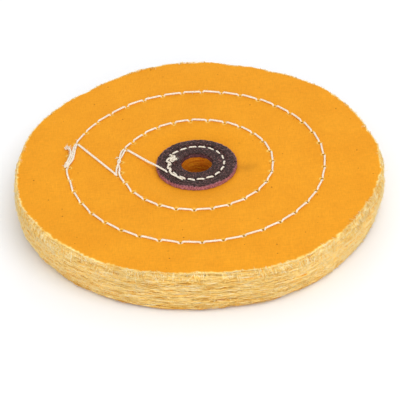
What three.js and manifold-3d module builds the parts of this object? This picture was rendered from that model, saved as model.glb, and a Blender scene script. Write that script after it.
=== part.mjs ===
// A stitched cloth polishing wheel, 150 mm (a nominal 6 inches) across, for a half-inch arbor.
//
// Forty round plies of cotton cloth are stacked, a leather washer is laid on each side round the bore,
// and one lockstitch seam sews the whole stack together. The seam goes round the leather, jumps out to
// a first ring in the cloth, goes round, jumps out to a second ring, and ends there. Its needle thread
// shows on the upper side and its bobbin thread on the lower side.
//
// The wheel lies flat. The arbor's axis is +Z, and the origin is on that axis at the lower washer's face.
// Lengths are in millimetres and angles in degrees, counted anticlockwise from +X as seen from above.

import * as THREE from "three";
import { mergeVertices } from "three/addons/utils/BufferGeometryUtils.js";
import Module from "manifold-3d";

const wasm = await Module();
wasm.setup();

// ---- Driving dimensions ----

const wheelRadius = 75.2;
const boreRadius = 6.35;

const plyCount = 40;
const clothThickness = 17.6; // the stack outside the dish that the washers press into it
const plyGap = 0.02;
const rimRounding = 1.2; // how much smaller the outermost plies are than the middle ones
const rimLean = 0.8; // how much smaller the lowest ply is cut than the highest
const plyUnevenness = 0.15; // no two plies are cut to quite the same radius

const washerRadius = 16.5;
const washerThickness = 2;
const washerProud = 0.75; // a washer's outer face stands this far outside the cloth's
const dishInnerRadius = 17.6; // the cloth is flat under the washer as far as here
const dishOuterRadius = 27; // and has its full thickness again from here

const threadRadius = 0.35;
const threadClearance = 0.02;
const threadSides = 5;
const channelClearance = 0.07; // between the thread and its channel across the leather

const needleHoleHalfWidth = 0.64;
const passSpacing = 0.85; // between the two passes of the seam, growing to twice this at the second one's end
const riseLength = 0.5; // a stitch reaches its full height this far from its needle holes
const clothDip = 0.32; // how far the thread sinks at a needle hole in the cloth
const leatherDip = 0.85;

// A ring of the seam goes once round in equal stitches from its first needle hole, and overlaps its start.
// The first hole can lie a little before the place that the equal stitches are counted from.
const leatherRing = {
  radius: 11.5,
  firstHole: 147,
  start: 147,
  stitches: 18,
  overlap: 60,
  overlapStitches: 3,
  dip: leatherDip,
};
const innerRing = {
  radius: 31.4,
  firstHole: 157,
  start: 160,
  stitches: 27,
  overlap: 33,
  overlapStitches: 3,
  dip: clothDip,
};
const outerRing = {
  radius: 52.4,
  firstHole: 160,
  start: 160,
  stitches: 39,
  overlap: 18.7,
  overlapStitches: 2,
  dip: clothDip,
};

const knotHalfSize = new THREE.Vector3(2.2, 0.85, 0.6);
const knotAngle = 153;
const tailSpacing = 0.95; // the thread's end lies back beside its own last stitches
const tailTurn = 0.5; // degrees past the last needle hole, where it turns back
const tailMiddle = { radius: 54.6, angle: 171 };
const tailEnd = { radius: 55.2, angle: 164 };

// ---- Sizes that follow ----

const wheelThickness = clothThickness + 2 * washerProud;
const plyPitch = clothThickness / plyCount;
const pressedPitch = (wheelThickness - 2 * washerThickness) / plyCount;
const grooveDepth = washerProud; // the seam runs level from its groove in the leather out over the cloth
const runDepth = threadRadius + threadClearance;
const grooveInnerRadius =
  leatherRing.radius * Math.cos(Math.PI / leatherRing.stitches) - threadRadius - threadClearance;
const grooveOuterRadius = leatherRing.radius + 2 * passSpacing + threadRadius + threadClearance;
const knotRadius = grooveInnerRadius + knotHalfSize.y; // the knot lies against the groove's inner wall
const cutOverrun = 1; // a cut runs this far past the wheel's faces
const weldDistance = 1e-3; // points closer than this are one point

// ---- Materials ----

const faceCloth = new THREE.MeshStandardMaterial({ color: "#f2a227", roughness: 0.95, metalness: 0 });
const rimCloth = new THREE.MeshStandardMaterial({ color: "#edc071", roughness: 0.98, metalness: 0 });
const leather = new THREE.MeshStandardMaterial({ color: "#4e3a39", roughness: 0.6, metalness: 0 });
const cotton = new THREE.MeshStandardMaterial({ color: "#f0e4d2", roughness: 0.85, metalness: 0 });

// ---- Round bodies ----

function pointOnRing(ring, turn) {
  const angle = turn * 2 * Math.PI;
  return [ring.radius * Math.cos(angle), ring.radius * Math.sin(angle), ring.height];
}

// The triangles between two rings of points. One ring's number of sides is a multiple of the other's.
function stripBetween(ring, next) {
  const finer = ring.sides >= next.sides ? ring : next;
  const coarser = finer === ring ? next : ring;
  const share = finer.sides / coarser.sides;
  const middle = Math.ceil(share / 2);
  const triangles = [];
  for (let side = 0; side < coarser.sides; side += 1) {
    const start = pointOnRing(coarser, side / coarser.sides);
    const end = pointOnRing(coarser, (side + 1) / coarser.sides);
    const fine = (step) => pointOnRing(finer, (side * share + step) / finer.sides);
    triangles.push([start, fine(middle), end]);
    for (let step = 0; step < share; step += 1) {
      triangles.push([step < middle ? start : end, fine(step), fine(step + 1)]);
    }
  }
  return finer === ring ? triangles : triangles.map(([a, b, c]) => [a, c, b]);
}

// A closed round body. Its section is a list of rings, anticlockwise with radius to the right and height up.
function roundBody(section) {
  const triangles = section.flatMap((ring, index) => {
    return stripBetween(ring, section[(index + 1) % section.length]);
  });
  const geometry = new THREE.BufferGeometry();
  geometry.setAttribute("position", new THREE.Float32BufferAttribute(triangles.flat(2), 3));
  return geometry;
}

// The radius of a polygon whose flat sides touch a circle of the given radius.
function radiusAround(radius, sides) {
  return radius / Math.cos(Math.PI / sides);
}

// ---- Joining and cutting ----

function solidFrom(geometry) {
  const bare = geometry.clone();
  bare.deleteAttribute("normal");
  bare.deleteAttribute("uv");
  const merged = mergeVertices(bare, weldDistance);
  return new wasm.Manifold(
    new wasm.Mesh({
      numProp: 3,
      vertProperties: merged.attributes.position.array,
      triVerts: new Uint32Array(merged.index.array),
    }),
  );
}

function geometryFrom(solid) {
  const mesh = solid.getMesh();
  const geometry = new THREE.BufferGeometry();
  geometry.setAttribute("position", new THREE.Float32BufferAttribute(mesh.vertProperties, 3));
  geometry.setIndex(new THREE.Uint32BufferAttribute(mesh.triVerts, 1));
  return geometry;
}

function joinedSolid(geometries) {
  return geometries.map(solidFrom).reduce((whole, piece) => whole.add(piece));
}

// A cut leaves each flat face in more triangles than it needs, and simplify joins those again.
function cutAway(geometry, cutters) {
  return geometryFrom(solidFrom(geometry).subtract(joinedSolid(cutters)).simplify(weldDistance));
}

// ---- The two sides of the wheel ----

const upperSide = { height: (depth) => wheelThickness - depth };
const lowerSide = { height: (depth) => depth };

function pointAt(radius, degrees, height) {
  const angle = THREE.MathUtils.degToRad(degrees);
  return new THREE.Vector3(radius * Math.cos(angle), radius * Math.sin(angle), height);
}

// ---- Seam ----

// Every needle hole of a ring in sewing order. After one turn the seam moves out, beside its first stitches.
function holesOf(ring) {
  const holes = [{ radius: ring.radius, angle: ring.firstHole }];
  for (let stitch = 1; stitch < ring.stitches; stitch += 1) {
    holes.push({ radius: ring.radius, angle: ring.start + (360 * stitch) / ring.stitches });
  }
  for (let stitch = 0; stitch <= ring.overlapStitches; stitch += 1) {
    const share = stitch / ring.overlapStitches;
    const angle = ring.firstHole + 360 + ring.overlap * share;
    holes.push({ radius: ring.radius + passSpacing * (1 + share), angle });
  }
  return holes;
}

// A straight stretch of thread on the surface, risen from the needle hole at each end.
function stretch(from, to, height) {
  const start = pointAt(from.radius, from.angle, height);
  const end = pointAt(to.radius, to.angle, height);
  const inset = riseLength / start.distanceTo(end);
  return [start.clone().lerp(end, inset), end.clone().lerp(start, inset)];
}

// The point where the thread turns back up in a needle hole.
function bottomOf(hole, ring, side) {
  return pointAt(hole.radius, hole.angle, side.height(runDepth + ring.dip));
}

function routeRound(ring, side) {
  const run = side.height(runDepth);
  const holes = holesOf(ring);
  return holes.flatMap((hole, index) => {
    const sunk = bottomOf(hole, ring, side);
    return index + 1 < holes.length ? [sunk, ...stretch(hole, holes[index + 1], run)] : [sunk];
  });
}

function seamRoute(side) {
  const run = side.height(runDepth);
  const jump = (from, to) => stretch(holesOf(from).at(-1), holesOf(to)[0], run);
  const route = [
    ...routeRound(leatherRing, side),
    ...jump(leatherRing, innerRing),
    ...routeRound(innerRing, side),
    ...jump(innerRing, outerRing),
    ...routeRound(outerRing, side),
  ];
  // Both ends of the seam lie on the surface, so the first and last needle holes hold no thread.
  route[0].z = run;
  route[route.length - 1].z = run;
  return route;
}

// The needle thread's end is turned back and lies on the cloth outside its last stitches.
function tailRoute(side) {
  const run = side.height(runDepth);
  const last = holesOf(outerRing).at(-1);
  return [
    pointAt(last.radius + tailSpacing / 2, last.angle + tailTurn, run),
    pointAt(last.radius + tailSpacing, last.angle, run),
    pointAt(tailMiddle.radius, tailMiddle.angle, run),
    pointAt(tailEnd.radius, tailEnd.angle, run),
  ];
}

// A path of straight stretches that puts one step of an extrusion at each of its points.
class CornerPath extends THREE.Curve {
  constructor(points) {
    super();
    this.points = points;
  }

  getPoint(share) {
    const place = THREE.MathUtils.clamp(share, 0, 1) * (this.points.length - 1);
    const index = Math.min(Math.floor(place), this.points.length - 2);
    return this.points[index].clone().lerp(this.points[index + 1], place - index);
  }

  getUtoTmapping(share) {
    return share;
  }
}

function threadAlong(points) {
  const section = new THREE.Shape();
  for (let side = 0; side < threadSides; side += 1) {
    const corner = pointAt(threadRadius, (360 * side) / threadSides, 0);
    if (side === 0) {
      section.moveTo(corner.x, corner.y);
    } else {
      section.lineTo(corner.x, corner.y);
    }
  }
  section.closePath();
  return new THREE.ExtrudeGeometry(section, {
    steps: points.length - 1,
    extrudePath: new CornerPath(points),
  });
}

// The knot that the sewing starts with. It sits in the groove, on the start of the thread, and a little above
// the washer.
function startingKnot(side) {
  const knot = new THREE.SphereGeometry(1, 8, 6);
  knot.scale(knotHalfSize.x, knotHalfSize.y, knotHalfSize.z);
  knot.rotateZ(THREE.MathUtils.degToRad(knotAngle + 90));
  const place = pointAt(knotRadius, knotAngle, side.height(-knotHalfSize.z / 3));
  return knot.translate(place.x, place.y, place.z);
}

function needleThread() {
  const points = [...seamRoute(upperSide), ...tailRoute(upperSide)];
  return geometryFrom(joinedSolid([threadAlong(points), startingKnot(upperSide)]));
}

function bobbinThread() {
  return threadAlong(seamRoute(lowerSide));
}

// ---- Needle holes ----

function needleHoles(ring) {
  const height = wheelThickness + 2 * cutOverrun;
  return holesOf(ring).map((hole) => {
    const cornerRadius = needleHoleHalfWidth * Math.SQRT2;
    const cutter = new THREE.CylinderGeometry(cornerRadius, cornerRadius, height, 4);
    cutter.rotateX(Math.PI / 2);
    cutter.rotateZ(THREE.MathUtils.degToRad(hole.angle + 45));
    const place = pointAt(hole.radius, hole.angle, wheelThickness / 2);
    return cutter.translate(place.x, place.y, place.z);
  });
}

// ---- Cloth plies ----

const boreSides = 12;
const rimSides = 36;

function plyRadius(index) {
  const place = (2 * index) / (plyCount - 1) - 1; // from -1 for the lowest ply to 1 for the highest
  const uneven = plyUnevenness * (1 + Math.sin(2.4 * index));
  return wheelRadius - rimRounding * Math.abs(place) ** 3 - (rimLean * (1 - place)) / 2 - uneven;
}

function clothPly(index) {
  const pressedBottom = washerThickness + pressedPitch * index + plyGap / 2;
  const pressedTop = pressedBottom + pressedPitch - plyGap;
  const bottom = washerProud + plyPitch * index + plyGap / 2;
  const top = bottom + plyPitch - plyGap;
  const bore = radiusAround(boreRadius, boreSides);
  const rim = plyRadius(index);
  return roundBody([
    { radius: bore, height: pressedBottom, sides: boreSides },
    { radius: dishInnerRadius, height: pressedBottom, sides: boreSides },
    { radius: dishOuterRadius, height: bottom, sides: boreSides },
    { radius: rim, height: bottom, sides: rimSides },
    { radius: rim, height: top, sides: rimSides },
    { radius: dishOuterRadius, height: top, sides: boreSides },
    { radius: dishInnerRadius, height: pressedTop, sides: boreSides },
    { radius: bore, height: pressedTop, sides: boreSides },
  ]);
}

// An outermost ply, with the needle holes of both rings of stitches.
function piercedPly(index) {
  const holes = [innerRing, outerRing].flatMap(needleHoles);
  return cutAway(clothPly(index), holes);
}

// ---- Leather washers ----

const washerSides = 24;

function washerBlank(side) {
  const section = [
    { radius: radiusAround(boreRadius, washerSides), depth: 0 },
    { radius: grooveInnerRadius, depth: 0 },
    { radius: grooveInnerRadius, depth: grooveDepth },
    { radius: radiusAround(grooveOuterRadius, washerSides), depth: grooveDepth },
    { radius: radiusAround(grooveOuterRadius, washerSides), depth: 0 },
    { radius: washerRadius, depth: 0 },
    { radius: washerRadius, depth: washerThickness },
    { radius: radiusAround(boreRadius, washerSides), depth: washerThickness },
  ].map(({ radius, depth }) => ({ radius, height: side.height(depth), sides: washerSides }));
  // Seen from the other side, the same list of points runs the other way round.
  return roundBody(side === lowerSide ? section : section.reverse());
}

// The channel that the jump from the leather to the first ring of the cloth is pressed into.
function jumpChannel(side) {
  const start = holesOf(leatherRing).at(-1);
  const end = holesOf(innerRing)[0];
  const from = pointAt(start.radius, start.angle, side.height(grooveDepth / 2));
  const to = pointAt(end.radius, end.angle, from.z);
  const width = 2 * (threadRadius + channelClearance);
  const channel = new THREE.BoxGeometry(from.distanceTo(to), width, grooveDepth);
  channel.rotateZ(Math.atan2(to.y - from.y, to.x - from.x));
  const middle = from.lerp(to, 0.5);
  return channel.translate(middle.x, middle.y, middle.z);
}

function leatherWasher(side) {
  return cutAway(washerBlank(side), [...needleHoles(leatherRing), jumpChannel(side)]);
}

// ---- Assembly ----

const wheel = new THREE.Group();

function addPiece(name, geometry, material) {
  const piece = new THREE.Mesh(geometry, material);
  piece.name = name;
  wheel.add(piece);
}

addPiece("lower_leather_washer", leatherWasher(lowerSide), leather);
for (let index = 0; index < plyCount; index += 1) {
  const outermost = index === 0 || index === plyCount - 1;
  const name = `cloth_ply_${String(index + 1).padStart(2, "0")}`;
  addPiece(name, outermost ? piercedPly(index) : clothPly(index), outermost ? faceCloth : rimCloth);
}
addPiece("upper_leather_washer", leatherWasher(upperSide), leather);
addPiece("needle_thread", needleThread(), cotton);
addPiece("bobbin_thread", bobbinThread(), cotton);

export default wheel;
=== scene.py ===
# A stitched cloth polishing wheel lying on a pale table.
#
# Each ply of the cloth is a sheet of its own with its own frayed edge, and both threads of the seam are
# twisted from three strands. Lengths are in metres. Angles are in radians, unless degrees are named, and
# are counted anticlockwise from +X as seen from above.

import math

import bpy
import numpy as np
from mathutils import Matrix, Vector


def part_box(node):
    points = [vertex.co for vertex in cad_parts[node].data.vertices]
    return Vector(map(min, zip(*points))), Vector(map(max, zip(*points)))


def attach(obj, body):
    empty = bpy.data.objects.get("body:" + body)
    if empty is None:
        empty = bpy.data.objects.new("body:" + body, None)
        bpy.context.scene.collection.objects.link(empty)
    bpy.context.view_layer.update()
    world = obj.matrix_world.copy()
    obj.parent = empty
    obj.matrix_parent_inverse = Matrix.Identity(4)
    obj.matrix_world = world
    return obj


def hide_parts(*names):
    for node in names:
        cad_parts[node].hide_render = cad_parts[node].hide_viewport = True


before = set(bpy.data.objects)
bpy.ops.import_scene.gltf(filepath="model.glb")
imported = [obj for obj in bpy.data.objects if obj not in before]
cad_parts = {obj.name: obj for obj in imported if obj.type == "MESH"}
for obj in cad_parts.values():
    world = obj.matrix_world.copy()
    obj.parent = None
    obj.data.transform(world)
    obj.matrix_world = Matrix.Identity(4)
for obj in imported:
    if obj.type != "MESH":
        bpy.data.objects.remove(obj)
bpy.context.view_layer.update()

MM = 0.001
TURN = 2 * math.pi
rng = np.random.default_rng(40)

# ---- Sizes from the frame ----

PLY_NODES = sorted(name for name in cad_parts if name.startswith("cloth_ply_"))
PLY_COUNT = len(PLY_NODES)
PLY_RADII = [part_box(name)[1].x for name in PLY_NODES]
CLOTH_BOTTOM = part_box(PLY_NODES[0])[0].z
CLOTH_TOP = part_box(PLY_NODES[-1])[1].z
CLOTH_MIDDLE = (CLOTH_BOTTOM + CLOTH_TOP) / 2
CLOTH_HALF = (CLOTH_TOP - CLOTH_BOTTOM) / 2
PLY_PITCH = 2 * CLOTH_HALF / PLY_COUNT
PLY_HEIGHTS = CLOTH_BOTTOM + PLY_PITCH * (np.arange(PLY_COUNT) + 0.5)
LOWER_WASHER_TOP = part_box("lower_leather_washer")[1].z
UPPER_WASHER_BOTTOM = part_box("upper_leather_washer")[0].z
PRESSED_PITCH = (UPPER_WASHER_BOTTOM - LOWER_WASHER_TOP) / PLY_COUNT
WHEEL_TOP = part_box("upper_leather_washer")[1].z
WASHER_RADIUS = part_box("upper_leather_washer")[1].x
FACE_RADIUS = PLY_RADII[-1]
RIM_RADIUS = max(PLY_RADII)

# ---- Sizes that the frame doesn't say ----

BORE_RADIUS = 6.35 * MM
DISH_INNER_RADIUS = 17.6 * MM
DISH_OUTER_RADIUS = 27 * MM

# The wheel isn't cut quite round: waves in a turn, their height, and the place of one crest in degrees.
OUTLINE_WAVES = (
    (1, 1.0 * MM, 46),
    (2, 0.25 * MM, -9),
    (3, 0.8 * MM, -39),
    (4, 0.3 * MM, 22),
    (5, 0.35 * MM, 13),
    (6, 0.25 * MM, -12),
    (7, 0.45 * MM, -7),
)

LOWEST_WAVES = 0.45  # the height of the lowest ply's waves, as a share of the highest one's
LOWEST_TRIM = 0.5 * MM  # the lowest ply is rubbed shorter by this, and the ones above it by less

THREAD_RADIUS = 0.42 * MM
STRAND_RADIUS = 0.23 * MM
TWIST_PITCH = 2.2 * MM
PASS_SPACING = 0.85 * MM
JUMP_LOOSENESS = 0.15


class Ring:
    """One ring of the seam: equal stitches once round, then a few more outwards over its own start."""

    def __init__(self, radius, first_degrees, start_degrees, stitches, overlap_degrees, overlap_stitches):
        self.radius = radius
        angles = [first_degrees] + [start_degrees + 360 * n / stitches for n in range(1, stitches)]
        self.holes = [polar(radius, math.radians(angle), 0.0) for angle in angles]
        self.first_pass = len(angles)
        for number in range(overlap_stitches + 1):
            share = number / overlap_stitches
            angle = math.radians(first_degrees + overlap_degrees * share)
            self.holes.append(polar(radius + PASS_SPACING * (1 + share), angle, 0.0))


def polar(radius, angle, height):
    """Points at these radii, angles and heights, with x, y and z along a last axis."""
    x, y, z = np.broadcast_arrays(radius * np.cos(angle), radius * np.sin(angle), height)
    return np.stack([x, y, z], axis=-1)


LEATHER_RING = Ring(11.5 * MM, 147, 147, 18, 60, 3)
INNER_RING = Ring(31.4 * MM, 157, 160, 27, 33, 3)
OUTER_RING = Ring(52.4 * MM, 160, 160, 39, 18.7, 2)


def smooth(share):
    """0 below 0, 1 above 1, and an S-shaped rise between."""
    share = np.clip(share, 0, 1)
    return share * share * (3 - 2 * share)


def bump(distance, width):
    """1 at no distance, and falling to 0 on both sides like a bell."""
    return np.exp(-((distance / width) ** 2))


def outline(angle, height):
    """How far a ply's edge stands outside its own circle. The lower plies are rounder and shorter."""
    waves = [size * np.cos(n * (angle - math.radians(crest))) for n, size, crest in OUTLINE_WAVES]
    full = smooth(1.6 * (height - CLOTH_BOTTOM) / (CLOTH_TOP - CLOTH_BOTTOM))
    return sum(waves) * (LOWEST_WAVES + (1 - LOWEST_WAVES) * full) - LOWEST_TRIM * (1 - full)


def weave_along(angle):
    """1 where the yarns of the cloth run along the rim, and 0 where they are cut across."""
    return smooth((-np.cos(2 * angle) - 0.5) / 0.45)


def waves_round(angle, row, count, most_waves, most_rows, height):
    """Random waves round the wheel that also change from row to row, with height as their usual size."""
    total = np.zeros(np.broadcast(angle, row).shape)
    for _ in range(count):
        waves = rng.integers(1, most_waves + 1)
        through = rng.uniform(-most_rows, most_rows) * TURN / PLY_COUNT
        total += np.cos(waves * angle + through * row + rng.uniform(0, TURN)) * rng.normal()
    return total * height * math.sqrt(2 / count)


# ---- Building meshes ----


class Shape:
    """The points and faces of one piece, collected part by part, and values for its material."""

    def __init__(self, *value_names):
        self.points, self.quads, self.triangles = [], [], []
        self.values = {name: [] for name in value_names}
        self.count = 0

    def add(self, points, quads, triangles=np.zeros((0, 3), int), **values):
        self.points.append(points.reshape(-1, 3))
        self.quads.append(quads.reshape(-1, 4) + self.count)
        self.triangles.append(triangles.reshape(-1, 3) + self.count)
        grid = points.shape[:-1]
        for name, rows in self.values.items():
            rows.append(np.broadcast_to(values.get(name, 0.0), grid).reshape(-1))
        self.count += len(self.points[-1])

    def piece(self, name, material, node, slot):
        """The finished object, which stands for a CAD node."""
        points = np.concatenate(self.points)
        quads = np.concatenate(self.quads)
        triangles = np.concatenate(self.triangles)
        mesh = bpy.data.meshes.new(name)
        mesh.vertices.add(len(points))
        mesh.vertices.foreach_set("co", points.ravel())
        mesh.loops.add(quads.size + triangles.size)
        mesh.loops.foreach_set("vertex_index", np.concatenate([quads.ravel(), triangles.ravel()]))
        starts = np.concatenate([4 * np.arange(len(quads)), quads.size + 3 * np.arange(len(triangles))])
        mesh.polygons.add(len(starts))
        mesh.polygons.foreach_set("loop_start", starts)
        mesh.polygons.foreach_set("use_smooth", np.ones(len(starts), bool))
        mesh.update(calc_edges=True)
        for value_name, rows in self.values.items():
            layer = mesh.attributes.new(value_name, "FLOAT", "POINT")
            layer.data.foreach_set("value", np.concatenate(rows))
        mesh.materials.append(material)
        piece = bpy.data.objects.new(name, mesh)
        bpy.context.scene.collection.objects.link(piece)
        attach(piece, "root")
        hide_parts(node)
        return piece


def closed_rings(points):
    """Faces of a closed surface from rings of points, outside on the left of each ring's way round."""
    index = np.arange(points.shape[0] * points.shape[1]).reshape(points.shape[:2])
    outward = np.roll(index, -1, axis=0)
    quads = np.stack([index, outward, np.roll(outward, -1, axis=1), np.roll(index, -1, axis=1)], axis=-1)
    return points, quads


def tubes(paths, radii, sides, reference=(0.0, 0.0, 1.0)):
    """Closed round tubes along paths, which are indexed by tube, point and coordinate."""
    along = np.gradient(paths, axis=1)
    along /= np.linalg.norm(along, axis=2, keepdims=True)
    across = np.cross(along, np.broadcast_to(reference, along.shape))
    across /= np.linalg.norm(across, axis=2, keepdims=True)
    third = np.cross(along, across)
    corner = (TURN * np.arange(sides) / sides)[:, None]
    circle = np.cos(corner) * across[:, :, None] + np.sin(corner) * third[:, :, None]
    points = paths[:, :, None] + np.broadcast_to(radii, paths.shape[:2])[:, :, None, None] * circle
    index = np.arange(points[..., 0].size).reshape(points.shape[:3])
    beside = np.roll(index, -1, axis=2)
    quads = np.stack([index[:, :-1], beside[:, :-1], beside[:, 1:], index[:, 1:]], axis=-1)
    ends = []
    for corner_number in range(1, sides - 1):
        first, second = corner_number, corner_number + 1
        ends.append(np.stack([index[:, 0, 0], index[:, 0, second], index[:, 0, first]], axis=-1))
        ends.append(np.stack([index[:, -1, 0], index[:, -1, first], index[:, -1, second]], axis=-1))
    return points, quads, np.concatenate(ends)


# ---- Materials ----


class Material:
    """A Principled material and short ways to add the nodes that drive it."""

    def __init__(self, name, roughness, specular=0.3):
        self.material = bpy.data.materials.new(name)
        self.material.use_nodes = True
        self.tree = self.material.node_tree
        self.shader = self.tree.nodes["Principled BSDF"]
        self.shader.inputs["Roughness"].default_value = roughness
        self.shader.inputs["Specular IOR Level"].default_value = specular

    def node(self, kind, **inputs):
        node = self.tree.nodes.new("ShaderNode" + kind)
        for name, value in inputs.items():
            self.set(node.inputs[name.replace("_", " ")], value)
        return node

    def set(self, socket, value):
        if isinstance(value, bpy.types.NodeSocket):
            self.tree.links.new(value, socket)
        else:
            socket.default_value = value

    def value(self, name):
        """The value called name that a Shape keeps at each point."""
        node = self.node("Attribute")
        node.attribute_name = name
        return node.outputs["Fac"]

    def place(self):
        """Where a point lies in the frame."""
        return self.node("TexCoord").outputs["Object"]

    def noise(self, size, stretch=(1, 1, 1), detail=2.0):
        """Noise with features of about this size, made longer along each axis by stretch."""
        scaled = self.node("Mapping", Vector=self.place(), Scale=[1 / (size * s) for s in stretch])
        noise = self.node("TexNoise", Vector=scaled.outputs["Vector"], Scale=1.0, Detail=detail)
        return noise.outputs["Fac"]

    def spread(self, value, low, high, to_low=0.0, to_high=1.0):
        """value, with low to high stretched to to_low to to_high."""
        ends = {"From_Min": low, "From_Max": high, "To_Min": to_low, "To_Max": to_high}
        return self.node("MapRange", Value=value, **ends).outputs["Result"]

    def maths(self, operation, first, second):
        node = self.node("Math")
        node.operation = operation
        self.set(node.inputs[0], first)
        self.set(node.inputs[1], second)
        return node.outputs[0]

    def mix(self, share, first, second, blend="MIX"):
        node = self.node("Mix")
        node.data_type = "RGBA"
        node.blend_type = blend
        self.set(node.inputs[0], share)
        self.set(node.inputs[6], first)
        self.set(node.inputs[7], second)
        return node.outputs[2]

    def shade(self, colour, brightness):
        """colour, made lighter or darker by a factor."""
        grey = self.node("CombineColor", Red=brightness, Green=brightness, Blue=brightness)
        return self.mix(1.0, colour, grey.outputs["Color"], "MULTIPLY")

    def colour(self, value):
        self.set(self.shader.inputs["Base Color"], value)

    def relief(self, height, distance, strength=1.0):
        node = self.node("Bump", Height=height, Distance=distance, Strength=strength)
        self.set(self.shader.inputs["Normal"], node.outputs["Normal"])


def seen(red, green, blue):
    """A colour as a screen shows it, from 0 to 255, as the linear colour that a material takes."""
    parts = [part / 255 for part in (red, green, blue)]
    linear = [p / 12.92 if p <= 0.04045 else ((p + 0.055) / 1.055) ** 2.4 for p in parts]
    return (*linear, 1.0)


DYED = seen(234, 156, 34)
DYED_DARK = seen(229, 150, 31)
# the darker orange of the shade painted at and near the bore
BORE_SHADE = seen(196, 100, 14)
WORN = seen(241, 189, 82)
PALE = seen(253, 223, 142)
BLEACHED = seen(255, 240, 200)
FLECK = seen(120, 66, 14)
# the colour of the shade painted into the needle holes and round the washer's foot, and of a faint smudge
PAINTED_SHADE_AND_SMUDGE = seen(84, 46, 10)


def cloth_colour(cloth):
    """Dyed yellow, paler towards the frayed edge and along loose fibres, and painted darker near the bore
    as shade.
    """
    patches = cloth.spread(cloth.noise(14 * MM), 0.3, 0.7)
    dyed = cloth.mix(patches, DYED, DYED_DARK)
    pale = cloth.value("pale")
    streaks = cloth.noise(0.42 * MM, stretch=(12, 12, 1), detail=3.0)
    uneven = cloth.maths("MULTIPLY", pale, cloth.spread(streaks, 0.3, 0.7, 0.55, 1.35))
    # shade painted at and near the bore, in a darker orange that follows the streaks
    deep = cloth.mix(cloth.spread(streaks, 0.35, 0.65), BORE_SHADE, DYED_DARK)
    dyed = cloth.mix(cloth.value("deep"), dyed, deep)
    colour = cloth.mix(cloth.spread(uneven, 0.0, 0.5), dyed, WORN)
    colour = cloth.mix(cloth.spread(uneven, 0.4, 1.0), colour, PALE)
    return cloth.mix(cloth.spread(uneven, 1.0, 1.7), colour, BLEACHED)


def inner_cloth_material():
    cloth = Material("cloth of the inner plies", roughness=0.95, specular=0.1)
    cloth.colour(cloth_colour(cloth))
    return cloth.material


FLECK_SPACING = 6 * MM
YARN_SIZE = 0.28 * MM


def face_cloth_material():
    """The cloth of the two outermost plies, whose weave and flecks are seen."""
    cloth = Material("cloth of the two faces", roughness=0.92, specular=0.12)
    warp = cloth.noise(YARN_SIZE, stretch=(9, 1, 1))
    weft = cloth.noise(YARN_SIZE, stretch=(1, 9, 1))
    weave = cloth.maths("ADD", warp, weft)
    # shade is painted between the yarns of the weave, and light on their tops
    colour = cloth.shade(cloth_colour(cloth), cloth.spread(weave, 0.7, 1.3, 0.9, 1.08))
    flecks = cloth.node("TexVoronoi", Vector=cloth.place(), Scale=1 / FLECK_SPACING, Randomness=1.0)
    flecks.voronoi_dimensions = "2D"
    cell = cloth.node("SeparateColor", Color=flecks.outputs["Color"])
    fleck_size = cloth.spread(cell.outputs["Red"], 0.5, 1.0, 0.0, 0.07)
    inside = cloth.maths("SUBTRACT", fleck_size, flecks.outputs["Distance"])
    strength = cloth.spread(cell.outputs["Green"], 0.2, 1.0, 0.1, 0.75)
    dark = cloth.maths("MULTIPLY", cloth.spread(inside, 0.0, 0.02), strength)
    colour = cloth.mix(dark, colour, FLECK)
    # painted shade in the needle holes and round the washer's foot, and a faint smudge beside the washer
    colour = cloth.mix(cloth.value("hole"), colour, PAINTED_SHADE_AND_SMUDGE)
    cloth.colour(colour)
    cloth.relief(weave, 0.12 * MM, 0.5)
    return cloth.material


def leather_material():
    """Dark leather with a pressed grain, worn pink where it is cut and in specks on its face."""
    leather = Material("dark leather", roughness=0.6, specular=0.16)
    grain = leather.noise(0.6 * MM, detail=4.0)
    face = leather.mix(leather.spread(grain, 0.42, 0.6), seen(24, 8, 5), seen(60, 31, 26))
    specks = leather.spread(leather.noise(0.42 * MM, detail=3.0), 0.58, 0.66)
    face = leather.mix(specks, face, seen(142, 98, 96))
    fibres = leather.noise(0.3 * MM, stretch=(1, 1, 3), detail=3.0)
    cut = leather.mix(leather.spread(fibres, 0.35, 0.65), seen(116, 56, 68), seen(186, 126, 134))
    leather.colour(leather.mix(leather.value("cut"), face, cut))
    leather.relief(grain, 0.2 * MM, 0.8)
    return leather.material


def thread_material():
    thread = Material("cotton thread", roughness=0.85, specular=0.2)
    tone = thread.spread(thread.noise(0.8 * MM), 0.3, 0.7)
    thread.colour(thread.mix(tone, seen(226, 212, 190), seen(246, 238, 224)))
    return thread.material


def floor_material():
    floor = Material("pale floor", roughness=0.9, specular=0.1)
    tone = floor.spread(floor.noise(0.4), 0.3, 0.7, 0.0, 1.0)
    floor.colour(floor.mix(tone, (0.93, 0.94, 0.96, 1), (0.94, 0.95, 0.97, 1)))
    return floor.material


# ---- Cloth plies ----

RIM_STEPS = 720
FACE_STEPS = 720
EDGE_ZONE = 9 * MM  # the plies lie tight together inside this distance from their edges
PLY_THICKNESS = 0.36 * MM

HOLE_PULL = 0.35 * MM
SEAM_GROOVE = 0.09 * MM  # the cloth is drawn in along the rings of stitches
SEAM_GROOVE_WIDTH = 1.6 * MM
PUCKER = 0.32 * MM  # and more at each needle hole
PUCKER_WIDTH = 0.6 * MM
# the width of the shade painted into each needle hole
HOLE_WIDTH = 0.45 * MM
HOLE_RIM_RADIUS = 0.85 * MM  # torn yarns make a pale rim round each hole
HOLE_RIM_WIDTH = 0.25 * MM
DARKEST_HOLE_SHADE_ANGLE = math.radians(320)  # shade painted into the needle holes is darkest on this side

SMUDGE_PLACE = (20.2 * MM, -2.8 * MM)
SMUDGE_SIZE = 4 * MM
SMUDGE_STRENGTH = 0.24
WASHER_SHADE_WIDTH = 0.7 * MM  # shade is painted on the cloth all round the washer's foot as well
WASHER_SHADE_STRENGTH = 0.25

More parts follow.
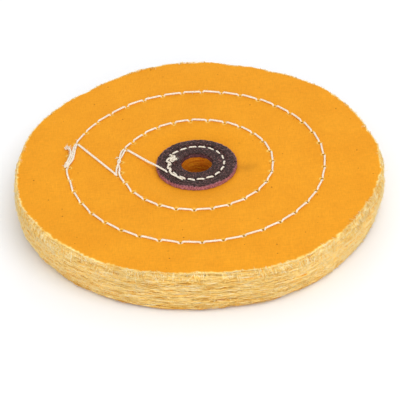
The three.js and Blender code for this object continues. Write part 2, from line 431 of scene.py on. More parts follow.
RUBBED_ANGLE = math.radians(265)  # the face's edge is rubbed palest on this side


def edge_thickness(angle):
    """A ply's edge is fluffed up where its yarns are cut across."""
    return (0.4 - 0.12 * weave_along(angle)) * MM


class Rim:
    """The wheel's rim: the height and the radius of every ply's edge, at equal steps round the wheel."""

    def __init__(self):
        self.angle = np.arange(RIM_STEPS) * TURN / RIM_STEPS
        self.row = np.arange(PLY_COUNT)[:, None]
        self.levels = self.make_levels()
        shared = waves_round(self.angle, self.row, 50, 30, 8, 0.2 * MM)
        own = waves_round(self.angle, 37 * self.row, 60, 170, 20, 0.12 * MM)
        circles = np.array(PLY_RADII)[:, None] + outline(self.angle, PLY_HEIGHTS[:, None])
        self.radii = circles + shared + own

    def make_levels(self):
        """The edges bunch together and leave gaps, but never cross."""
        looseness = 0.3 + 0.7 * weave_along(self.angle)
        level = PLY_HEIGHTS[:, None] + looseness * waves_round(self.angle, self.row, 60, 26, 12, 0.26 * MM)
        thickness = edge_thickness(self.angle)
        for _ in range(60):
            short = np.maximum(0, thickness + 0.02 * MM - np.diff(level, axis=0)) / 2
            level[1:] += short
            level[:-1] -= short
            level = np.clip(level, CLOTH_BOTTOM + thickness / 2, CLOTH_TOP - thickness / 2)
        return level

    def edge(self, index, angle):
        """The radius and the height of one ply's edge."""
        radius = np.interp(angle, self.angle, self.radii[index], period=TURN)
        return radius, np.interp(angle, self.angle, self.levels[index], period=TURN)

    def points(self, angle, height, lift):
        """Points on the rim, or lifted off it."""
        column = np.round(angle / TURN * RIM_STEPS).astype(int) % RIM_STEPS
        row = np.clip((height - PLY_HEIGHTS[0]) / PLY_PITCH, 0, PLY_COUNT - 1)
        below = np.minimum(row.astype(int), PLY_COUNT - 2)
        share = row - below
        radius = self.radii[below, column] * (1 - share) + self.radii[below + 1, column] * share
        return polar(radius + lift, angle, height)


def face_waves(radius, angle):
    """The faces are a little uneven, and most of all near the rim."""
    share = smooth((radius - DISH_OUTER_RADIUS) / (FACE_RADIUS - DISH_OUTER_RADIUS))
    return 0.12 * MM * share * (np.sin(5 * angle + 1.0) + np.sin(8 * angle + radius / (9 * MM)))


def ply_level(index, radius, angle, edge_radius, edge_level):
    """The height of a ply's middle surface. It is pressed flat under the washers and loose at its edge."""
    pressed = LOWER_WASHER_TOP + PRESSED_PITCH * (index + 0.5)
    free = CLOTH_BOTTOM + PLY_PITCH * (index + 0.5)
    rise = smooth((radius - DISH_INNER_RADIUS) / (DISH_OUTER_RADIUS - DISH_INNER_RADIUS))
    loose = smooth(1 - (edge_radius - radius) / EDGE_ZONE)
    side = 2 * index / (PLY_COUNT - 1) - 1
    sewn = pressed + (free - pressed) * rise
    return sewn + (edge_level - free) * loose + side * face_waves(radius, angle)


def hole_distance(radius, angle):
    """The distance of every point to the nearest hole in the cloth. The thread pulls the holes inwards."""
    points = polar(radius + HOLE_PULL, angle, 0.0)
    nearest = np.full(radius.shape, 1.0)
    for hole in INNER_RING.holes + OUTER_RING.holes:
        nearest = np.minimum(nearest, np.hypot(points[..., 0] - hole[0], points[..., 1] - hole[1]))
    return nearest


HIDDEN_RADII = np.array([7.5, 17.6, 20, 22.3, 25, 30, 44, 58]) * MM
EDGE_INSETS = np.array([9, 6.5, 4.5, 3, 2, 1.3, 0.8, 0.4, 0.12]) * MM
FACE_ZONES = (  # from a radius in millimetres, up to another, in steps: closest along the stitches
    (16.2, 30, 1.0),
    (30.2, 33, 0.28),
    (34, 51, 1.4),
    (51.2, 54.4, 0.28),
    (55, 61, 1.2),
)
FACE_RADII = np.concatenate([[7.5, 12, 15.5], *[np.arange(*zone) for zone in FACE_ZONES]]) * MM
FACE_INSETS = np.array([8.5, 7, 5.5, 4.2, 3.2, 2.5, 2, 1.6, 1.3, 1, 0.75, 0.5, 0.3, 0.12]) * MM


def side_radii(fixed, insets, edge_radius):
    """Rings of radii from the bore to just inside the edge."""
    inner = np.repeat(fixed[:, None], len(edge_radius), axis=1)
    return np.concatenate([inner, edge_radius - insets[:, None]])


def near_bore(points):
    """1 at the bore's wall and 0 away from it, for the shade painted near the bore."""
    from_bore = np.hypot(points[..., 0], points[..., 1]) - BORE_RADIUS
    return smooth(1 - from_bore / (2 * MM))


def most_rubbed(angle):
    """1 where the face's edge is rubbed palest, and 0 across the wheel from there."""
    return smooth(0.5 + 0.6 * np.cos(angle - RUBBED_ANGLE))


def smudge_and_painted_washer_shade(points):
    """A faint dark smudge on the upper face beside the washer, and shade painted on the cloth all round
    the washer's foot.
    """
    along, across = points[..., 0] - SMUDGE_PLACE[0], points[..., 1] - SMUDGE_PLACE[1]
    from_washer = np.hypot(points[..., 0], points[..., 1]) - WASHER_RADIUS
    smudge = SMUDGE_STRENGTH * bump(np.hypot(along, 1.4 * across), SMUDGE_SIZE)
    return smudge + WASHER_SHADE_STRENGTH * bump(from_washer, WASHER_SHADE_WIDTH)


def seam_marks(radius, angle):
    """How far the seam draws the cloth of a face in, how dark the shade painted into its needle holes is,
    and how pale it makes the cloth.
    """
    distance = hole_distance(radius, angle)
    from_rings = [radius - ring.radius for ring in (INNER_RING, OUTER_RING)]
    groove = sum(bump(from_ring, SEAM_GROOVE_WIDTH) for from_ring in from_rings)
    drawn_in = SEAM_GROOVE * groove + PUCKER * bump(distance, PUCKER_WIDTH)
    # the needle holes are painted dark as shade, more on one side of the wheel than across from it
    hole_shade_strength = 0.6 + 0.5 * np.cos(angle - DARKEST_HOLE_SHADE_ANGLE)
    dark = np.minimum(1, 1.3 * hole_shade_strength * bump(distance, HOLE_WIDTH))
    pale = 0.6 * bump(distance - HOLE_RIM_RADIUS, HOLE_RIM_WIDTH)
    return drawn_in, dark, pale


def ply_side(index, side, angle, bore, edge_radius, edge_level):
    """The upper or lower side of a ply from the bore to the edge, and how pale and how dark it is."""
    is_face = index == (PLY_COUNT - 1 if side > 0 else 0)
    fixed, insets = (FACE_RADII, FACE_INSETS) if is_face else (HIDDEN_RADII, EDGE_INSETS)
    radius = np.concatenate([bore[None] + 0.1 * MM, side_radii(fixed, insets, edge_radius)])
    level = ply_level(index, radius, angle, edge_radius, edge_level)
    inset = edge_radius - radius
    at_edge = edge_thickness(angle)
    thickness = at_edge + (PLY_THICKNESS - at_edge) * smooth(inset / EDGE_ZONE)
    rounded = 0.55 + 0.45 * smooth(inset / (0.5 * MM))
    points = polar(radius, angle, level + side * thickness * rounded / 2)
    rubbed = most_rubbed(angle) if is_face else 1 - weave_along(angle)
    ragged = (0.4 + 0.6 * rubbed) * waves_round(angle, index, 60, 300, 0, 0.24 * MM)
    pale_width = (0.5 + 0.6 * rubbed) * MM
    pale = smooth(1 - (inset - ragged) / pale_width)
    dark = np.zeros_like(pale)
    if is_face:
        drawn_in, dark, hole_rims = seam_marks(radius, angle)
        points[..., 2] -= side * drawn_in
        pale = pale + hole_rims
        if side > 0:
            # the smudge, and painted shade round the washer's foot
            dark = np.maximum(dark, smudge_and_painted_washer_shade(points))
    return points, pale, dark


def ply_sheet(index, angle, edge_radius, edge_level):
    """One ply as a closed thin sheet with a hole, and the values for its material."""
    bore = BORE_RADIUS + np.abs(waves_round(angle, 0, 30, 40, 0, 0.12 * MM))
    upper, upper_pale, upper_dark = ply_side(index, 1, angle, bore, edge_radius, edge_level)
    lower, lower_pale, lower_dark = ply_side(index, -1, angle, bore, edge_radius, edge_level)
    bore_level = ply_level(index, bore, angle, edge_radius, edge_level)
    bore_edge = polar(bore, angle, bore_level)[None]
    outer_edge = polar(edge_radius, angle, edge_level)[None]
    # Round the section: up from the bore, out over the top, down over the edge, and back underneath.
    points = np.concatenate([bore_edge, upper, outer_edge, lower[::-1]])
    none, full = np.zeros((1, len(angle))), np.ones((1, len(angle)))
    pale = np.concatenate([none, upper_pale, full, lower_pale[::-1]])
    # the hole values are painted shade in the needle holes and round the washer's foot, and a faint smudge
    dark = np.concatenate([none, upper_dark, none, lower_dark[::-1]])
    # shade is painted on the cloth at the bore's edge and near it
    deep = np.concatenate([full, near_bore(upper), none, near_bore(lower[::-1])])
    return points, {"pale": pale, "hole": dark, "deep": deep}


# ---- Frayed edges ----

FIBRE_POINTS = 6

# How many fibres of each kind a ply has, and the thinnest and the thickest of them.
RIM_FIBRES = 760
YARN_ENDS = 50
EDGE_FIBRES = 1200
STRAY_FIBRES = 14
RIM_FIBRE_SIZES = (0.07 * MM, 0.14 * MM)
YARN_END_SIZES = (0.18 * MM, 0.32 * MM)
TUFT_SIZES = (0.18 * MM, 0.34 * MM)
LOWEST_FLUFF_SIZES = (0.08 * MM, 0.16 * MM)
STRAY_FIBRE_SIZES = (0.1 * MM, 0.18 * MM)

TUFTED_PLIES = 4  # the fluff of this many plies hangs down in tufts over the ones below
TUFTS = 150
LOWEST_TUFTS = 200
TUFTED_ANGLE = math.radians(320)  # more of the tufts turn back over the face here
TURNING_DEPTH = 0.7 * MM  # fluff from deeper than this never turns back over the face
DYED_PLIES = 2  # the edges of this many plies at the bottom have kept more of their dye
DYED_PALENESS = 0.4


def along_share():
    """How far along its fibre each point lies."""
    return np.linspace(0, 1, FIBRE_POINTS)[None]


def over_edge(rim, angle, reach, lift, side):
    """Points at a distance over the edge of a face: on the face if it is negative, else down the rim."""
    face = CLOTH_MIDDLE + side * CLOTH_HALF
    points = rim.points(angle, face - side * np.maximum(0, reach), np.minimum(0, reach) + lift)
    points[..., 2] += side * lift * np.clip(1 - reach / (0.8 * MM), 0, 1)
    return points


def random_references(count):
    """One direction for each fibre, from which the sides of its tube are counted."""
    return rng.normal(size=(count, 1, 3))


def rim_fibres(rim, index, count):
    """Loose fibres of one ply: long along the rim where its yarns run that way, else short and pale.

    A fibre's lay is its direction on the rim: 0 along the plies, and a quarter turn straight across them.
    """
    each = (count, 1)
    angle = rng.uniform(0, TURN, each)
    bare = weave_along(angle) > rng.uniform(0.2, 1.6, each)
    angle = np.where(bare, angle + TURN / 4, angle)
    along = weave_along(angle) > rng.uniform(0.02, 0.9, each)
    lay = np.where(along, rng.normal(0, 0.1, each), rng.normal(1.1, 0.4, each))
    length = np.where(along, rng.uniform(2.5, 9, each), rng.uniform(0.9, 2.8, each)) * MM
    turned = lay + rng.normal(0, 0.35, each) * along_share()
    step = length / (FIBRE_POINTS - 1)
    sideways = np.cumsum(rng.choice([-1, 1], each) * step * np.cos(turned), axis=1)
    rise = np.cumsum(rng.choice([-1, 1], each) * step * np.sin(turned), axis=1)
    height = rim.edge(index, angle)[1] + rise
    height = np.clip(height, CLOTH_BOTTOM + 0.1 * MM, CLOTH_TOP - 0.1 * MM)
    out = rng.exponential(0.18, each) * MM
    root = 0.6 * MM
    lift = (root + out) * np.sin(0.5 * math.pi * np.minimum(1, 2.2 * along_share())) - root
    paths = rim.points(angle + sideways / RIM_RADIUS, height, lift)
    return paths, np.where(along, 1.0, 1.35)


def yarn_ends(rim, index, count):
    """Whole yarns of the weave that have come off the edge and lie along the rim."""
    each = (count, 1)
    angle = rng.choice([0.25, 0.75], each) * TURN + rng.normal(0, 0.3, each)
    along = (along_share() - 0.5) * (rng.uniform(4, 13, each) * MM)
    bend = rng.normal(0, 0.35, each) * MM
    height = rim.edge(index, angle)[1] + bend * np.sin(math.pi * along_share())
    height = height + along * rng.normal(0, 0.04, each)
    height = np.clip(height, CLOTH_BOTTOM + 0.15 * MM, CLOTH_TOP - 0.15 * MM)
    out = rng.uniform(-0.05, 0.4, each) * MM
    root = 0.7 * MM
    lift = (root + out) * np.sin(math.pi * np.clip(along_share(), 0.02, 0.98)) ** 0.4 - root
    return rim.points(angle + along / RIM_RADIUS, height, lift)


def edge_fibres(rim, side, depth, count, tufts):
    """Fluff of a ply at a depth below a face. Its tufts lie down the rim, and some turn over the edge."""
    tuft_angle = rng.uniform(0, TURN, tufts)
    tuft_size = rng.gamma(3.0, 0.33, tufts)
    tuft_lean = rng.normal(0.1, 0.3, tufts)
    turned_back = bump(np.sin((tuft_angle - TUFTED_ANGLE) / 2), 0.5)
    tuft_inward = np.where(rng.random(tufts) < 0.1 + 0.3 * turned_back, 0.6, 0.04)
    each = (count, 1)
    chosen = rng.integers(0, tufts, each)
    angle = tuft_angle[chosen] + rng.normal(0, 0.014, each)
    inward = rng.random(each) < tuft_inward[chosen] * (depth < TURNING_DEPTH)
    length = rng.uniform(1.2, 4.2, each) * np.minimum(tuft_size[chosen], 1.4) * MM
    length = np.where(inward, 0.42 * length, length)
    lean = tuft_lean[chosen] + rng.normal(0, 0.26, each)
    start = depth + np.where(inward, rng.uniform(-0.2, 0.3, each), rng.uniform(-0.4, 0.6, each)) * MM
    reach = along_share() * length
    over = start + np.where(inward, -1, 1) * reach * np.cos(lean)
    turned = angle + reach * np.sin(lean) / FACE_RADIUS
    lift = rng.uniform(0.05, 0.4, each) * MM * np.sin(0.75 * math.pi * along_share())
    return over_edge(rim, turned, over, lift, side)


def stray_fibres(rim, count):
    """A few long fibres that stand up and down across the rim."""
    each = (count, 1)
    angle = rng.uniform(0, TURN, each)
    step = rng.uniform(3, 8, each) * MM / (FIBRE_POINTS - 1)
    lay = rng.normal(math.pi / 2, 0.35, each) * rng.choice([-1, 1], each)
    turned = lay + rng.normal(0, 0.5, each) * along_share()
    height = CLOTH_MIDDLE + rng.uniform(-0.5, 0.6, each) * CLOTH_HALF
    height = height + np.cumsum(step * np.sin(turned), axis=1)
    height = np.clip(height, CLOTH_BOTTOM + 0.3 * MM, CLOTH_TOP + 0.2 * MM)
    sideways = np.cumsum(step * np.cos(turned), axis=1)
    lift = rng.uniform(0.3, 0.9, each) * MM * np.sin(math.pi * np.clip(along_share(), 0.05, 0.9))
    return rim.points(angle + sideways / RIM_RADIUS, height, lift)


def add_fibres(shape, paths, sizes, pale, pale_spread):
    """Fibres that thin out towards their ends, each with a paleness of its own."""
    each = (len(paths), 1)
    radii = rng.uniform(*sizes, each) / 2 * (1 - 0.6 * along_share() ** 2)
    tones = rng.normal(pale, pale_spread, each).clip(0.2, 1.8)
    shape.add(*tubes(paths, radii, 3, random_references(len(paths))), pale=tones[..., None])


def fray(shape, rim, index):
    """Adds a ply's fibres to its sheet."""
    faded = DYED_PALENESS if index < DYED_PLIES else 1.0
    paths, pale = rim_fibres(rim, index, RIM_FIBRES)
    add_fibres(shape, paths, RIM_FIBRE_SIZES, faded * pale, pale_spread=0.2)
    yarns = yarn_ends(rim, index, YARN_ENDS)
    add_fibres(shape, yarns, YARN_END_SIZES, faded * 0.95, pale_spread=0.3)
    from_top = PLY_COUNT - 1 - index
    if from_top < TUFTED_PLIES:
        fluff = edge_fibres(rim, 1, from_top * PLY_PITCH, EDGE_FIBRES, TUFTS)
        add_fibres(shape, fluff, TUFT_SIZES, 1.0, pale_spread=0.4)
    if index == 0:
        fluff = edge_fibres(rim, -1, 0.0, EDGE_FIBRES, LOWEST_TUFTS)
        add_fibres(shape, fluff, LOWEST_FLUFF_SIZES, 0.5, pale_spread=0.2)
    if index % 8 == 4:
        add_fibres(shape, stray_fibres(rim, STRAY_FIBRES), STRAY_FIBRE_SIZES, 1.5, pale_spread=0.1)


def make_plies(inner_cloth, face_cloth):
    """Every ply with its fibres, from the lowest up, each laid on the one below."""
    rim = Rim()
    for index, node in enumerate(PLY_NODES):
        is_face = index in (0, PLY_COUNT - 1)
        steps = FACE_STEPS if is_face else RIM_STEPS
        angle = np.arange(steps) * TURN / steps
        shape = Shape("pale", "deep", "hole") if is_face else Shape("pale", "deep")
        points, values = ply_sheet(index, angle, *rim.edge(index, angle))
        shape.add(*closed_rings(points), **values)
        fray(shape, rim, index)
        material = face_cloth if is_face else inner_cloth
        slot = "face_cloth" if is_face else "rim_cloth"
        piece = shape.piece(f"ply_{index + 1:02}", material, node, slot)


# ---- Seam ----

THREAD_STEP = 0.16 * MM
THREAD_SIDES = 5
HOLE_SINK = 1.3 * MM
HOLE_SINK_WIDTH = 0.66 * MM
LEATHER_SINK = 0.9 * MM
LEATHER_SINK_WIDTH = 0.58 * MM
OVERLAP_SINK = 0.6 * MM
OVERLAP_SINK_WIDTH = 0.5 * MM
OVERLAP_CROSSINGS = 2.5  # how often the leather ring's second pass winds over its first
THREAD_SQUASH = 0.85  # how high two crossing threads stand, as a share of their height if they were hard


def run_height(radius, highest):
    """The height of the thread's middle between its needle holes, by its distance from the axis."""
    in_leather = WHEEL_TOP - 0.2 * MM
    over_leather = WHEEL_TOP + 0.14 * MM
    on_cloth = CLOTH_TOP + THREAD_RADIUS - 0.04 * MM
    radii = np.array([12.4, 13.2, 16.4, 20.0]) * MM
    height = np.interp(radius, radii, [in_leather, over_leather, over_leather, on_cloth])
    return np.minimum(height, highest)


def sinking(path, hole, sink, width):
    """How far the thread sinks near a needle hole. It goes down steeply."""
    distance = np.hypot(path[:, 0] - hole[0], path[:, 1] - hole[1])
    return sink * np.exp(-((distance / width) ** 4))


def stitch(start, end, highest, sag=0.0, slant=0.0):
    """The middle of the thread from one needle hole to the next. It sinks at both."""
    length = np.linalg.norm(end - start)
    share = np.arange(0, length, THREAD_STEP)[:, None] / length
    path = start + (end - start) * share
    sideways = np.cross((end - start) / length, (0.0, 0.0, 1.0))
    path = path + sideways * (sag * np.sin(math.pi * share) + slant * (2 * share - 1))
    path[:, 2] = run_height(np.hypot(path[:, 0], path[:, 1]), highest)
    for hole in (start, end):
        in_leather = hole[0] ** 2 + hole[1] ** 2 < WASHER_RADIUS**2
        sink, width = (LEATHER_SINK, LEATHER_SINK_WIDTH) if in_leather else (HOLE_SINK, HOLE_SINK_WIDTH)
        wider = 1 + 0.5 * abs(hole[0]) / np.linalg.norm(hole[:2])  # on the left and right of the wheel
        path[:, 2] -= sinking(path, hole, sink, width * wider * rng.uniform(0.9, 1.2))
    return path


def overlap_path(ring, highest):
    """The seam's second pass over a ring's start. It winds round the first pass and crosses over it."""
    start, end = ring.holes[ring.first_pass], ring.holes[-1]
    start_angle = math.atan2(start[1], start[0])
    sweep = (math.atan2(end[1], end[0]) - start_angle) % TURN
    count = int(ring.radius * sweep / THREAD_STEP)
    share = np.linspace(0, 1, count, endpoint=False)
    away_from_ends = smooth(share * 8) * smooth((1 - share) * 8)
    crossing = away_from_ends * (1 - np.cos(TURN * OVERLAP_CROSSINGS * share))
    beside = PASS_SPACING * (1 - crossing)
    beside *= 1 + 0.25 * np.sin(2.3 * TURN * share)
    on_top = np.sqrt(np.maximum(0, (2 * THREAD_RADIUS) ** 2 - beside**2)) * THREAD_SQUASH
    path = polar(ring.radius + beside, start_angle + sweep * share, 0.0)
    path[:, 2] = run_height(ring.radius, highest) + on_top
    stitch_count = len(ring.holes) - 1 - ring.first_pass
    from_hole = np.abs((share * stitch_count + 0.5) % 1 - 0.5) / stitch_count * sweep * ring.radius
    path[:, 2] -= OVERLAP_SINK * bump(from_hole, OVERLAP_SINK_WIDTH) * (on_top < 0.1 * MM)
    return path


# Where the two passes of a ring lie together, each wanders. A place on the thread is a radius in
# millimetres, an angle in degrees, and millimetres up.
IN_HOLE = None  # in place of the last one, where the thread goes down a needle hole
INNER_FIRST_PASS = (
    (31.3, 157, IN_HOLE),
    (31.3, 162, 0.0),
    (31.5, 168, 0.0),
    (32.3, 173, 0.0),
    (31.8, 178, 0.0),
    (31.5, 183, 0.0),
    (31.9, 188, 0.0),
    (31.8, 194, 0.0),
    (31.4, 200, IN_HOLE),
)
INNER_SECOND_PASS = (
    (32.3, 157, -0.4),
    (32.3, 162, 0.1),
    (31.8, 169.7, 0.7),
    (31.5, 173.5, 0.1),
    (31.9, 178, 0.75),
    (32.7, 183, 0.1),
    (33.2, 189.5, -0.3),
)
OUTER_FIRST_PASS = (
    (52.3, 160, IN_HOLE),
    (51.8, 164, 0.0),
    (51.2, 169, 0.0),
    (51.2, 173, 0.0),
    (52.3, 176.8, 0.0),
    (52.9, 178.9, IN_HOLE),
    (53.0, 180.5, 0.0),
    (52.8, 184.5, 0.0),
    (52.4, 187.7, IN_HOLE),
)
OUTER_SECOND_PASS = (
    (52.9, 160, -0.5),
    (52.5, 164, 0.1),
    (51.9, 168.5, 0.4),
    (51.9, 172.5, 0.3),
    (52.9, 176.7, 0.1),
    (53.4, 178.3, -0.2),
)


def on_plane(place):
    """A listed point without its height."""
    return polar(place[0] * MM, math.radians(place[1]), 0.0)


def wander(places, highest):
    """The middle of a thread along listed points."""
    points = [on_plane(place) + (0, 0, (place[2] or 0.0) * MM) for place in places]
    path = curve_through(points)
    path[:, 2] += run_height(np.hypot(path[:, 0], path[:, 1]), highest)
    for point, place in zip(points, places):
        if place[2] is IN_HOLE:
            path[:, 2] -= sinking(path, point, HOLE_SINK, HOLE_SINK_WIDTH)
    return path


def stitches(holes, highest):
    """Stitches from hole to hole, each a little curved and slanted."""
    parts = []
    for start, end in zip(holes, holes[1:]):
        sag, slant = rng.uniform(-0.12, 0.12) * MM, rng.normal(0.18, 0.1) * MM
        parts.append(stitch(start, end, highest, sag, slant))
    return np.concatenate(parts)


def needle_seam_path():
    """The seam's route on the upper side."""
    highest = WHEEL_TOP + 0.5 * MM
    leather, inner, outer = LEATHER_RING, INNER_RING, OUTER_RING
    route = [
        stitches(leather.holes[: leather.first_pass + 1], highest),
        overlap_path(leather, highest),
        stitch(leather.holes[-1], inner.holes[0], highest),
        wander(INNER_FIRST_PASS, highest),
        stitches(inner.holes[3 : inner.first_pass], highest),
        stitch(inner.holes[inner.first_pass - 1], on_plane(INNER_SECOND_PASS[0]), highest),
        wander(INNER_SECOND_PASS, highest),
        stitch(on_plane(INNER_SECOND_PASS[-1]), outer.holes[0], highest),
        wander(OUTER_FIRST_PASS, highest),
        stitches(outer.holes[3 : outer.first_pass], highest),
        stitch(outer.holes[outer.first_pass - 1], on_plane(OUTER_SECOND_PASS[0]), highest),
        wander(OUTER_SECOND_PASS, highest),
    ]
    return np.concatenate(route)


def curve_through(points):
    """Points at about even steps on a smooth curve through the given ones."""
    points = np.array([2 * points[0] - points[1], *points, 2 * points[-1] - points[-2]])
    parts = []
    for before, start, end, after in zip(points, points[1:], points[2:], points[3:]):
        count = max(2, int(np.linalg.norm(end - start) / THREAD_STEP))
        t = np.arange(count)[:, None] / count
        linear = (end - before) * t
        square = (2 * before - 5 * start + 4 * end - after) * t**2
        cubic = (3 * start - before - 3 * end + after) * t**3
        parts.append(0.5 * (2 * start + linear + square + cubic))
    return np.concatenate([*parts, points[-2:-1]])


def looseness(path):
    """How much thicker the thread is than in a stitch. It is less tight where it jumps between rings."""
    radius = np.hypot(path[:, 0], path[:, 1])
    both_passes = 2 * MM
    fade = 2 * MM
    jumps = ((WASHER_RADIUS, INNER_RING.radius), (INNER_RING.radius + both_passes, OUTER_RING.radius))
    on_jump = np.zeros(len(path))
    for inner, outer in jumps:
        on_jump += smooth((radius - inner) / fade) * smooth((outer - radius) / fade)
    return 1 + JUMP_LOOSENESS * on_jump


def add_twisted(shape, path, loose=1.0, frayed=0.0):
    """Three strands twisted together along a path. They part over the last stretch if it is frayed."""
    length = np.concatenate([[0], np.cumsum(np.linalg.norm(np.diff(path, axis=0), axis=1))])
    along = np.gradient(path, axis=0)
    along /= np.linalg.norm(along, axis=1, keepdims=True)
    across = np.cross(along, (0.0, 0.0, 1.0))
    across /= np.linalg.norm(across, axis=1, keepdims=True)
    third = np.cross(along, across)
    off_middle = loose * (THREAD_RADIUS - STRAND_RADIUS) * np.ones(len(path))
    if frayed:
        off_middle += 0.45 * MM * smooth(1 - (length[-1] - length) / frayed)
    strands = []
    for number in range(3):
        phase = (TURN * (length / TWIST_PITCH + number / 3))[:, None]
        strands.append(path + off_middle[:, None] * (np.cos(phase) * across + np.sin(phase) * third))
    shape.add(*tubes(np.array(strands), loose * STRAND_RADIUS, THREAD_SIDES))


def add_fuzz(shape, path, count, longest):
    """Short fibres that stand off a thread."""
    place = rng.integers(1, len(path) - 1, count)
    direction = rng.normal(size=(count, 3)) + (0, 0, 0.6)
    direction /= np.linalg.norm(direction, axis=1, keepdims=True)
    length = rng.uniform(0.3, 1.0, count)[:, None, None] * longest
    bend = rng.normal(0, 0.35, (count, 1, 3))
    share = along_share()[..., None]
    paths = path[place][:, None] + direction[:, None] * (THREAD_RADIUS * 0.7 + share * length)
    paths = paths + bend * share**2 * length
    shape.add(*tubes(paths, 0.04 * MM, 3, random_references(count)))


# The thread's end is turned back, lies beside its last stitches, and then points outwards.
TAIL = (
    (53.6, 178.4, -0.2),
    (53.8, 177.2, 0.0),
    (52.9, 174.5, 0.5),
    (52.4, 170.5, 0.8),
    (52.9, 167.5, 0.7),
    (54.3, 165.2, 0.6),
    (55.8, 164.8, 0.3),
)

# The sewing starts with a loose end, which lies beside the first stitches and under the knot.
LOOSE_START = (
    (12.2, 208, 0.2),
    (12.6, 216, 0.3),
    (12.3, 226, 0.3),
    (12.6, 236, 0.3),
    (12.4, 243, 0.1),
)

# Loose hairs of the inner ring's second pass lie outwards from where the passes cross.
WISP = (
    ((31.8, 170.2, 0.6), (33.0, 169.3, 0.4), (34.6, 168.6, 0.0)),
    ((31.8, 169.5, 0.6), (33.0, 170.2, 0.4), (34.3, 170.4, 0.0)),
)

KNOT_RADIUS = 9.8 * MM
KNOT_ANGLE = math.radians(163)
KNOT_HEIGHT = WHEEL_TOP + 0.3 * MM


def knot_path():
    """The knot that the sewing starts with: a trefoil, drawn tight to a lump."""
    turn = np.linspace(0, TURN, 90, endpoint=False)
    sideways = 0.6 * MM * (np.sin(turn) + 2 * np.sin(2 * turn))
    outwards = 0.42 * MM * (np.cos(turn) - 2 * np.cos(2 * turn))
    upwards = -0.34 * MM * np.sin(3 * turn)
    cosine, sine = math.cos(KNOT_ANGLE), math.sin(KNOT_ANGLE)
    radial = KNOT_RADIUS + outwards
    x, y = radial * cosine - sideways * sine, radial * sine + sideways * cosine
    return np.stack([x, y, KNOT_HEIGHT + upwards], axis=-1)


def make_needle_thread(material):
    """The seam on the upper side, with its knot, its two loose ends and its fuzz."""
    shape = Shape()
    seam, tail = needle_seam_path(), wander(TAIL, WHEEL_TOP)
    add_twisted(shape, seam, looseness(seam))
    add_twisted(shape, tail, 1.15, frayed=2.2 * MM)
    add_twisted(shape, knot_path())
    add_twisted(shape, wander(LOOSE_START, WHEEL_TOP), frayed=1.0 * MM)
    add_fuzz(shape, seam, 500, 0.7 * MM)
    add_fuzz(shape, tail, 110, 0.9 * MM)
    add_fuzz(shape, tail[-20:], 60, 1.3 * MM)
    add_fuzz(shape, knot_path(), 60, 1.0 * MM)
    hairs = np.array([wander(places, WHEEL_TOP)[::2][:7] for places in WISP])
    shape.add(*tubes(hairs, 0.12 * MM, 4))
    shape.piece("needle_thread_strands", material, "needle_thread", "cotton_thread")


def make_bobbin_thread(material):
    """The same seam on the lower side, made on top and mirrored, with its two passes side by side."""
    highest = WHEEL_TOP - THREAD_RADIUS - 0.01 * MM
    seam = stitches(LEATHER_RING.holes + INNER_RING.holes + OUTER_RING.holes, highest)
    seam[:, 2] = WHEEL_TOP - seam[:, 2]
    shape = Shape()
    add_twisted(shape, seam)
    shape.piece("bobbin_thread_strands", material, "bobbin_thread", "cotton_thread")


# ---- Leather washers ----

LEATHER_STEPS = 480
FACE_RINGS = 42
WALL_RINGS = 6
BACK_RINGS = 8
WORN_WIDTH = 0.5 * MM
BORE_WALL_CUT = 0.3  # the bore's wall is rubbed dark, and shows less pink
BEVEL_DEPTH = 0.3 * MM
BEVEL_WIDTH = 0.45 * MM
LEATHER_GROOVE = 0.42 * MM
LEATHER_GROOVE_WIDTH = 0.85 * MM
DEEPEST_PRESS = 1.2 * MM


def distance_to_jump(points):
    """The distance to the thread that leads from the leather out to the cloth."""
    start, end = LEATHER_RING.holes[-1][:2], INNER_RING.holes[0][:2]
    way = (end - start) / np.linalg.norm(end - start)
    along = np.maximum(0, (points[..., :2] - start) @ way)
    return np.linalg.norm(points[..., :2] - start - along[..., None] * way, axis=-1)


def pressed_in(face_radius, angle, is_upper):
    """How deep the stitches, and the thread that leads out to the cloth, are pressed into a washer."""
    from_ring = face_radius - LEATHER_RING.radius - PASS_SPACING / 2
    groove = LEATHER_GROOVE * bump(from_ring, LEATHER_GROOVE_WIDTH)
    from_jump = distance_to_jump(polar(face_radius, angle, 0.0))
    if is_upper:
        return groove + 0.12 * MM * bump(from_jump, 0.6 * MM)
    # The lower thread is pressed right into the leather, so that the washer's face stands on the table.
    return np.maximum(1.6 * groove, 0.8 * MM * bump(from_jump, 0.45 * MM))


def washer_face(angle, inner, outer, is_upper):
    """The radii and the points of a washer's face, as if it were the upper one."""
    share = np.linspace(0, 1, FACE_RINGS)[:, None]
    radius = inner + (outer - inner) * share
    from_edge = np.minimum(radius - inner, outer - radius)
    bevel = BEVEL_DEPTH * (1 - smooth(from_edge / BEVEL_WIDTH))
    uneven = waves_round(angle, 60 * share, 60, 40, 8, 0.04 * MM)
    depth = np.minimum(bevel + pressed_in(radius, angle, is_upper) + 0.04 * MM, DEEPEST_PRESS)
    return radius, polar(radius, angle, WHEEL_TOP - depth - np.maximum(uneven, -0.03 * MM))


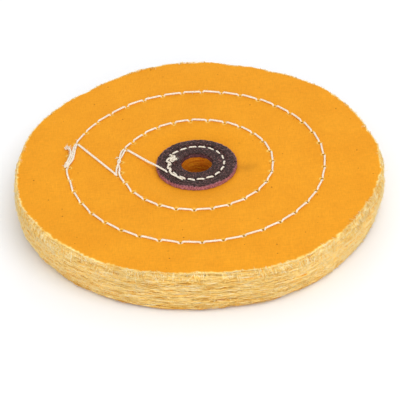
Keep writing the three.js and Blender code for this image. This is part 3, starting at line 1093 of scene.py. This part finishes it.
def make_washer(name, node, material, is_upper):
    """A ring of leather with rough cut walls and worn edges. The lower one is made on top and mirrored."""
    angle = np.arange(LEATHER_STEPS) * TURN / LEATHER_STEPS
    outer = WASHER_RADIUS + waves_round(angle, 0, 30, 60, 0, 0.05 * MM)
    worn = waves_round(angle, 0, 30, 90, 0, 0.18 * MM)
    inner = BORE_RADIUS + waves_round(angle, 0, 20, 30, 0, 0.05 * MM) + 0.05 * MM
    face_radius, face = washer_face(angle, inner, outer, is_upper)
    down_to_back = UPPER_WASHER_BOTTOM - WHEEL_TOP
    wall = np.linspace(0.25, 0.95, WALL_RINGS)[:, None]
    rough = waves_round(angle, 50 * wall, 60, 120, 20, 0.05 * MM)
    outer_wall = polar(outer + rough, angle, WHEEL_TOP + wall * down_to_back)
    inner_wall = polar(inner - rough, angle, WHEEL_TOP + wall[::-1] * down_to_back)
    back_radius = outer + (inner - outer) * np.linspace(0.02, 0.98, BACK_RINGS)[:, None]
    back = polar(back_radius, angle, UPPER_WASHER_BOTTOM)
    points = np.concatenate([face, outer_wall, back, inner_wall])
    face_cut = 0.9 * (1 - smooth((outer - face_radius + worn) / WORN_WIDTH))
    others = [1.0] * WALL_RINGS + [0.0] * BACK_RINGS + [BORE_WALL_CUT] * WALL_RINGS
    cut = np.concatenate([face_cut, np.repeat([others], LEATHER_STEPS, axis=0).T])
    if not is_upper:
        points[..., 2] = WHEEL_TOP - points[..., 2]
        points, cut = points[::-1], cut[::-1]
    shape = Shape("cut")
    shape.add(*closed_rings(points), cut=cut)
    shape.piece(name, material, node, "leather")


# ---- Table, light and camera ----


FLOOR_SIZE = 6.0
WORLD_BRIGHTNESS = 0.74


def make_floor(material):
    bpy.ops.mesh.primitive_plane_add(size=FLOOR_SIZE, location=(0, 0, 0))
    floor = bpy.context.object
    floor.name = "floor"
    floor.data.materials.append(material)


def make_light():
    """White light from all round, and three softboxes turned towards the wheel."""
    world = bpy.data.worlds.new("studio")
    world.use_nodes = True
    background = world.node_tree.nodes["Background"]
    background.inputs["Color"].default_value = (1.0, 1.0, 1.0, 1)
    background.inputs["Strength"].default_value = WORLD_BRIGHTNESS
    bpy.context.scene.world = world
    for name, place, size, energy in (
        ("softbox above", (0.45, -0.45, 1.1), 0.9, 5.5),
        ("softbox in front", (-0.1, -1.3, 0.35), 0.8, 7.0),
        ("softbox behind", (0.1, 1.3, 0.35), 0.8, 5.5),
    ):
        lamp = bpy.data.lights.new(name, "AREA")
        lamp.size = size
        lamp.energy = energy
        softbox = bpy.data.objects.new(name, lamp)
        softbox.location = place
        softbox.rotation_euler = (-softbox.location).to_track_quat("-Z", "Y").to_euler()
        bpy.context.scene.collection.objects.link(softbox)


CAMERA_ELEVATION_DEGREES = 35.8
CAMERA_ROLL_DEGREES = 2.6
CAMERA_DISTANCE = 0.9
CAMERA_LENS = 198.5  # in Blender's millimetres
AIM_BELOW_DEGREES = 0.956
AIM_RIGHT_DEGREES = 0.088


def make_camera():
    """A long lens that looks down on the wheel, aimed a little below its middle."""
    elevation = math.radians(CAMERA_ELEVATION_DEGREES)
    target = Vector((0, 0, CLOTH_TOP + THREAD_RADIUS))
    back = Vector((0, -math.cos(elevation), math.sin(elevation)))
    turned = back.to_track_quat("Z", "Y").to_matrix()
    turned = turned @ Matrix.Rotation(-math.radians(CAMERA_ROLL_DEGREES), 3, "Z")
    turned = turned @ Matrix.Rotation(-math.radians(AIM_BELOW_DEGREES), 3, "X")
    turned = turned @ Matrix.Rotation(-math.radians(AIM_RIGHT_DEGREES), 3, "Y")
    lens = bpy.data.cameras.new("camera")
    lens.lens = CAMERA_LENS
    lens.sensor_width = 36
    camera = bpy.data.objects.new("camera", lens)
    camera.matrix_world = Matrix.Translation(target + back * CAMERA_DISTANCE) @ turned.to_4x4()
    bpy.context.scene.collection.objects.link(camera)
    bpy.context.scene.camera = camera


leather = leather_material()
thread = thread_material()
make_washer("lower_washer", "lower_leather_washer", leather, is_upper=False)
make_plies(inner_cloth_material(), face_cloth_material())
make_washer("upper_washer", "upper_leather_washer", leather, is_upper=True)
make_needle_thread(thread)
make_bobbin_thread(thread)
make_floor(floor_material())
make_light()
make_camera()
bpy.context.scene.view_settings.view_transform = "Standard"
